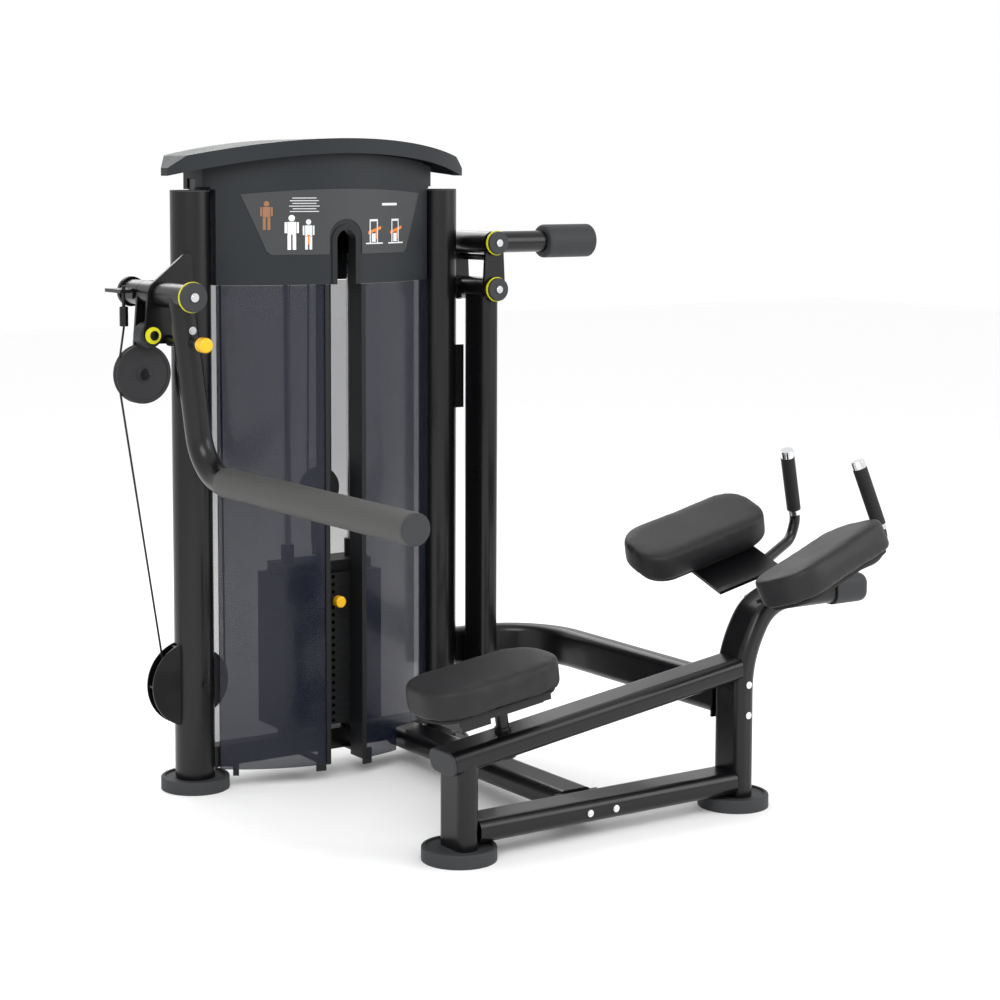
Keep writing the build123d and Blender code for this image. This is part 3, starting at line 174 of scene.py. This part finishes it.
finishes = {
    "frame_paint": finish("frame_paint", "#08080a", 0.3, grain_mm=1.6, bump_mm=0.012, coat=0.1),
    "grey_plastic": finish("grey_plastic", "#2d2e30", 0.55, grain_mm=0.7, bump_mm=0.02),
    "foot_rubber": finish("foot_rubber", "#303133", 0.65, grain_mm=0.8, bump_mm=0.03),
    "buffer_rubber": finish("buffer_rubber", "#151515", 0.7, grain_mm=0.8, bump_mm=0.03),
    "chrome": finish("chrome", "#d9dadc", 0.12, metal=1.0, grain_mm=0.6, bump_mm=0.002, spread=0.04),
    "head_shell": finish("head_shell", "#181c20", 0.55, grain_mm=0.9, bump_mm=0.015),
    "placard": finish("placard", "#373839", 0.5, grain_mm=0.8, bump_mm=0.004),
    "smoke_sheet": smoked("smoke_sheet", "#181b29", 0.68),
    "trim_plastic": finish("trim_plastic", "#101113", 0.5, grain_mm=0.9, bump_mm=0.015),
    "plate_iron": finish("plate_iron", "#111214", 0.5, grain_mm=1.2, bump_mm=0.03),
    "pulley_plastic": finish("pulley_plastic", "#29292b", 0.5, grain_mm=0.8, bump_mm=0.02),
    "pin_steel": finish("pin_steel", "#b9bbbd", 0.26, metal=1.0, grain_mm=0.4, bump_mm=0.004),
    "knob_yellow": finish("knob_yellow", "#e0ac12", 0.3, grain_mm=0.9, bump_mm=0.006, coat=0.3),
    "washer_yellow": finish("washer_yellow", "#cfcb22", 0.4, grain_mm=0.9, bump_mm=0.01),
    "pad_board": finish("pad_board", "#1a1917", 0.7, grain_mm=1.5, bump_mm=0.05),
    "grip_rubber": finish("grip_rubber", "#141415", 0.6, grain_mm=0.9, bump_mm=0.05),
    "weight_coat": finish("weight_coat", "#2d2e30", 0.6, grain_mm=0.9, bump_mm=0.03),
    "cable_black": finish("cable_black", "#161616", 0.45, grain_mm=0.6, bump_mm=0.02),
    "roller_foam": vinyl("roller_foam", "#434342", 0.6, 0.9),
    "pad_vinyl": vinyl("pad_vinyl", "#18181a", 0.5),
}
for entry in frame["record"]["subparts"]:
    nodes[entry["node"]].data.materials.clear()
    nodes[entry["node"]].data.materials.append(finishes[entry["material_slot"]])

# The rear sheet is paler, so light shows through the slot between the front ones.
rear_sheet_from_y = 0.52
sheets = nodes["shields"].data
sheets.materials.append(smoked("rear_sheet", "#474c5c", 0.4))
for face in sheets.polygons:
    if face.center.y > rear_sheet_from_y:
        face.material_index = 1
floor.data.materials.append(finish("floor_paint", "#fafafa", 0.7, grain_mm=3.0, bump_mm=0.02))


# ---- cushions -----------------------------------------------------------------------------
# Foam under vinyl. Each starts a little inside its plain solid and is blown up as stiff cloth
# until the faces crown. No point may move further than the swell. It is then smoothed.
foam_voxel = 0.005
blow_up_frames = 20
smoothing_passes = 30


def merged_copy(node, name):
    """A joined-up copy of a node's mesh as a new object."""
    copy = bpy.data.objects.new(name, nodes[node].data.copy())
    scene.collection.objects.link(copy)
    grid = bmesh.new()
    grid.from_mesh(copy.data)
    bmesh.ops.remove_doubles(grid, verts=grid.verts, dist=0.00002)
    bmesh.ops.recalc_face_normals(grid, faces=grid.faces)
    grid.to_mesh(copy.data)
    grid.free()
    return copy


def apply_modifier(piece, modifier):
    """Apply one modifier to a piece's mesh."""
    bpy.context.view_layer.objects.active = piece
    bpy.ops.object.modifier_apply(modifier=modifier.name)


def upholster(node, name, inset=0.002, swell=0.004):
    """Cushion for a node: inset, remeshed, swollen by cloth pressure and smoothed."""
    pad = merged_copy(node, name)
    pad.data.materials.clear()
    pad.data.materials.append(finishes["pad_vinyl"])
    remesh = pad.modifiers.new("remesh", "REMESH")
    remesh.mode = "VOXEL"
    remesh.voxel_size = foam_voxel
    apply_modifier(pad, remesh)
    for vertex in pad.data.vertices:
        vertex.co -= vertex.normal * inset
    rest = [vertex.co.copy() for vertex in pad.data.vertices]
    cloth = pad.modifiers.new("cloth", "CLOTH")
    cloth.settings.use_pressure = True
    cloth.settings.uniform_pressure_force = 3
    cloth.settings.tension_stiffness = 60
    cloth.settings.compression_stiffness = 60
    cloth.settings.bending_stiffness = 30
    cloth.settings.effector_weights.gravity = 0
    for step in range(1, blow_up_frames + 1):
        scene.frame_set(step)
    apply_modifier(pad, cloth)
    scene.frame_set(1)
    for vertex, start in zip(pad.data.vertices, rest):
        move = vertex.co - start
        if move.length > swell:
            vertex.co = start + move.normalized() * swell
    smooth = pad.modifiers.new("smooth", "SMOOTH")
    smooth.factor = 0.5
    smooth.iterations = smoothing_passes
    apply_modifier(pad, smooth)
    finer = pad.modifiers.new("finer", "SUBSURF")
    finer.levels = 1
    finer.render_levels = 1
    apply_modifier(pad, finer)
    pad.data.polygons.foreach_set("use_smooth", [True] * len(pad.data.polygons))
    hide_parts(node)
    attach(pad, "frame")
    return pad


for node, name in (("knee_cushion", "knee_pad"), ("elbow_cushion_far", "elbow_pad_far"),
                   ("elbow_cushion_near", "elbow_pad_near")):
    upholster(node, name)


# ---- roller -------------------------------------------------------------------------------
# A foam sleeve with softly rounded ends, very slightly fuller in the middle. It turns with
# the roller body.
def lathe_y(name, centre_x, centre_z, profile, segments=72):
    """Closed ring of revolution about an axis parallel to Y, from (y, radius) points."""
    rings = bmesh.new()
    loops = []
    for y, radius in profile:
        loop = [rings.verts.new((centre_x + radius * math.cos(2 * math.pi * i / segments), y,
                                 centre_z + radius * math.sin(2 * math.pi * i / segments)))
                for i in range(segments)]
        loops.append(loop)
    for first, second in zip(loops, loops[1:] + loops[:1]):
        for i in range(segments):
            j = (i + 1) % segments
            rings.faces.new((first[i], first[j], second[j], second[i]))
    bmesh.ops.recalc_face_normals(rings, faces=rings.faces)
    mesh = bpy.data.meshes.new(name)
    rings.to_mesh(mesh)
    rings.free()
    mesh.polygons.foreach_set("use_smooth", [True] * len(mesh.polygons))
    piece = bpy.data.objects.new(name, mesh)
    scene.collection.objects.link(piece)
    return piece


low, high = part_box("roller_sleeve")
roller_r = (high.x - low.x) / 2
foam_thickness = 0.008
bore_r = roller_r - foam_thickness
edge = 0.006
fullness = 0.0006
end_relief = 0.0005
quarter_turn = [math.radians(a) for a in range(0, 91, 15)]
straight = high.y - low.y - 2 * edge
profile = [(low.y + end_relief, bore_r)]
profile += [(low.y + edge - edge * math.cos(a), roller_r - edge + edge * math.sin(a))
            for a in quarter_turn]
profile += [(low.y + edge + straight * t / 12, roller_r + fullness * math.sin(math.pi * t / 12))
            for t in range(1, 12)]
profile += [(high.y - edge + edge * math.sin(a), roller_r - edge + edge * math.cos(a))
            for a in quarter_turn]
profile += [(high.y - end_relief, bore_r)]
roller = lathe_y("roller_cover", (low.x + high.x) / 2, (low.z + high.z) / 2, profile)
roller.data.materials.append(finishes["roller_foam"])
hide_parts("roller_sleeve")
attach(roller, "roller")

# ---- cables -------------------------------------------------------------------------------
# The lever cable hangs from its anchor, passes the swinging pulley and drops to the floor
# pulley. It is cut in two at the swinging pulley's middle height, into a run above and a
# run below. The loop that lifts the stack is copied whole and hung on the frame.
pulley_low, pulley_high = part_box("swing_pulley")
pulley_z = (pulley_low.z + pulley_high.z) / 2


def cable_part(name, keep_above):
    """Half of the lever cable, above or below the swinging pulley's middle."""
    run = merged_copy("lever_cable", name)
    grid = bmesh.new()
    grid.from_mesh(run.data)
    bmesh.ops.bisect_plane(grid, geom=grid.verts[:] + grid.edges[:] + grid.faces[:],
                           plane_co=(0, 0, pulley_z), plane_no=(0, 0, 1),
                           clear_inner=keep_above, clear_outer=not keep_above)
    grid.to_mesh(run.data)
    grid.free()
    run.data.polygons.foreach_set("use_smooth", [True] * len(run.data.polygons))
    run.data.materials.clear()
    run.data.materials.append(finishes["cable_black"])
    return run


upper_run = cable_part("lever_cable_upper", True)
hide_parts("lever_cable")
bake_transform(upper_run)
lower_run = cable_part("lever_cable_lower", False)
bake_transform(lower_run)

lift_loop = merged_copy("lift_cable", "lift_cable_loop")
lift_loop.data.polygons.foreach_set("use_smooth", [True] * len(lift_loop.data.polygons))
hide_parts("lift_cable")
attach(lift_loop, "frame")
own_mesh(lift_loop)


# ---- placard ------------------------------------------------------------------------------
# Printed marks on the head's bowed panel: a paragraph of lines, three standing figures and two
# small machine diagrams with orange accents. None of them is lettering.
panel_t = 0.0018
print_gap = 0.0003
strip = 0.01
panel_low, panel_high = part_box("placard")
panel_mid = (panel_low.x + panel_high.x) / 2
panel_half = (panel_high.x - panel_low.x) / 2
panel_sag = panel_high.y - panel_low.y - panel_t
panel_radius = (panel_half ** 2 + panel_sag ** 2) / (2 * panel_sag)


def panel_y(x):
    """Y of the panel's printed face at a given x, a hair in front of it."""
    off = x - panel_mid
    return panel_low.y + panel_radius - math.sqrt(panel_radius ** 2 - off ** 2) - print_gap


def ink(name, colour):
    """Flat printing ink."""
    return finish(name, colour, 0.45, grain_mm=0.8, bump_mm=0.002)


def drape(name, shapes, ink_material):
    """Flat shapes given as (x, z) outlines, draped over the bowed panel as one piece."""
    sheet = bmesh.new()
    for outline in shapes:
        corners = [sheet.verts.new((panel_mid + x, 0, panel_low.z + z)) for x, z in outline]
        sheet.faces.new(corners)
    cuts = max(1, int(panel_half / strip))
    for i in range(-cuts, cuts + 1):
        bmesh.ops.bisect_plane(sheet, geom=sheet.verts[:] + sheet.edges[:] + sheet.faces[:],
                               plane_co=(panel_mid + i * strip, 0, 0), plane_no=(1, 0, 0))
    for vertex in sheet.verts:
        vertex.co.y = panel_y(vertex.co.x)
    for face in sheet.faces:
        face.normal_update()
        if face.normal.y > 0:
            face.normal_flip()
    mesh = bpy.data.meshes.new(name)
    sheet.to_mesh(mesh)
    sheet.free()
    mesh.materials.append(ink_material)
    piece = bpy.data.objects.new(name, mesh)
    scene.collection.objects.link(piece)
    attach(piece, "frame")
    return piece


def disc(x, z, radius):
    """Round outline."""
    turns = [2 * math.pi * i / 20 for i in range(20)]
    return [(x + radius * math.cos(turn), z + radius * math.sin(turn)) for turn in turns]


def bar(x, z, width, height, lean=0.0):
    """Slanted or upright bar outline, from its lower left corner."""
    return [(x, z), (x + width, z + lean), (x + width, z + height + lean), (x, z + height)]


def figure(x, z, tall):
    """Standing person: head, body, arms and two legs."""
    unit = tall / 10
    return [disc(x, z + 9.1 * unit, 0.9 * unit),
            bar(x - 1.2 * unit, z + 4.4 * unit, 2.4 * unit, 3.6 * unit),
            bar(x - 2.0 * unit, z + 4.8 * unit, 0.6 * unit, 3.1 * unit),
            bar(x + 1.4 * unit, z + 4.8 * unit, 0.6 * unit, 3.1 * unit),
            bar(x - 1.2 * unit, z, 0.95 * unit, 4.3 * unit),
            bar(x + 0.25 * unit, z, 0.95 * unit, 4.3 * unit)]


def machine(x, z, size):
    """Small outline drawing of a machine: tower, bench and feet."""
    unit = size / 10
    return [bar(x - 2.2 * unit, z, 0.5 * unit, 9 * unit),
            bar(x + 1.4 * unit, z, 0.5 * unit, 9 * unit),
            bar(x - 2.2 * unit, z + 8.6 * unit, 4.1 * unit, 0.8 * unit),
            bar(x - 1.2 * unit, z + 0.8 * unit, 2.0 * unit, 3.2 * unit),
            bar(x - 4.0 * unit, z, 8.4 * unit, 0.5 * unit)]


pale_ink = ink("pale_ink", "#c9cbcd")
orange_ink = ink("orange_ink", "#d8762a")
light_ink = ink("light_ink", "#f1f1f1")
drape("placard_figures", figure(-0.135, 0.012, 0.08), light_ink)
drape("placard_outline_figures", figure(-0.096, 0.012, 0.07) + machine(0.08, 0.022, 0.062)
      + machine(0.15, 0.022, 0.062) + [bar(0.105, 0.112, 0.05, 0.006)], pale_ink)
drape("placard_muscle_figure", figure(-0.19, 0.058, 0.066), ink("brown_ink", "#8c6244"))
drape("placard_accents", [bar(0.062, 0.045, 0.04, 0.007, 0.012), bar(0.132, 0.045, 0.04, 0.007, 0.012),
                          bar(0.084, 0.034, 0.004, 0.02), bar(0.154, 0.034, 0.004, 0.02),
                          bar(-0.1, 0.024, 0.008, 0.022)], orange_ink)

# The paragraph's lines are one short bar repeated down the panel.
lines = bpy.data.node_groups.new("paragraph_lines", "GeometryNodeTree")
for name, kind, value in (("Count", "NodeSocketInt", 6), ("Spacing", "NodeSocketFloat", 0.0062),
                          ("Seed", "NodeSocketInt", 4)):
    lines.interface.new_socket(name, in_out="INPUT", socket_type=kind).default_value = value
lines.interface.new_socket("Ink", in_out="INPUT", socket_type="NodeSocketMaterial")
lines.interface.new_socket("Geometry", in_out="OUTPUT", socket_type="NodeSocketGeometry")
given = lines.nodes.new("NodeGroupInput")
result = lines.nodes.new("NodeGroupOutput")
step = add_node(lines, "ShaderNodeCombineXYZ", [("Z", given.outputs["Spacing"])])
column = add_node(lines, "GeometryNodeMeshLine",
                  [("Count", given.outputs["Count"]), ("Offset", step.outputs[0])])
stroke = add_node(lines, "GeometryNodeMeshCube", Size=(0.075, 0.0004, 0.0018))
stroke.inputs["Vertices X"].default_value = 6
reach = add_node(lines, "FunctionNodeRandomValue", [("Seed", given.outputs["Seed"])], data_type="FLOAT")
reach.inputs[2].default_value = 0.7
reach.inputs[3].default_value = 1.0
stretch = add_node(lines, "ShaderNodeCombineXYZ", [("X", reach.outputs[1])], Y=1.0, Z=1.0)
copies = add_node(lines, "GeometryNodeInstanceOnPoints",
                  [("Points", column.outputs["Mesh"]), ("Instance", stroke.outputs["Mesh"]),
                   ("Scale", stretch.outputs[0])])
solid = add_node(lines, "GeometryNodeRealizeInstances", [("Geometry", copies.outputs["Instances"])])
inked = add_node(lines, "GeometryNodeSetMaterial", [("Geometry", solid.outputs["Geometry"]),
                                                    ("Material", given.outputs["Ink"])])
lines.links.new(inked.outputs["Geometry"], result.inputs["Geometry"])
paragraph = bpy.data.objects.new("placard_paragraph", bpy.data.meshes.new("placard_paragraph"))
scene.collection.objects.link(paragraph)
repeat = paragraph.modifiers.new("lines", "NODES")
repeat.node_group = lines
sockets = {item.name: item.identifier for item in lines.interface.items_tree if item.in_out == "INPUT"}
repeat[sockets["Count"]] = 6
repeat[sockets["Spacing"]] = 0.0062
repeat[sockets["Seed"]] = 4
repeat[sockets["Ink"]] = pale_ink
bpy.context.view_layer.update()
baked = bpy.data.meshes.new_from_object(paragraph.evaluated_get(bpy.context.evaluated_depsgraph_get()))
paragraph.modifiers.remove(repeat)
paragraph.data = baked
for vertex in baked.vertices:
    x = panel_mid - 0.105 + vertex.co.x
    vertex.co = (x, panel_y(x) + vertex.co.y, panel_low.z + 0.1 + vertex.co.z)
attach(paragraph, "frame")
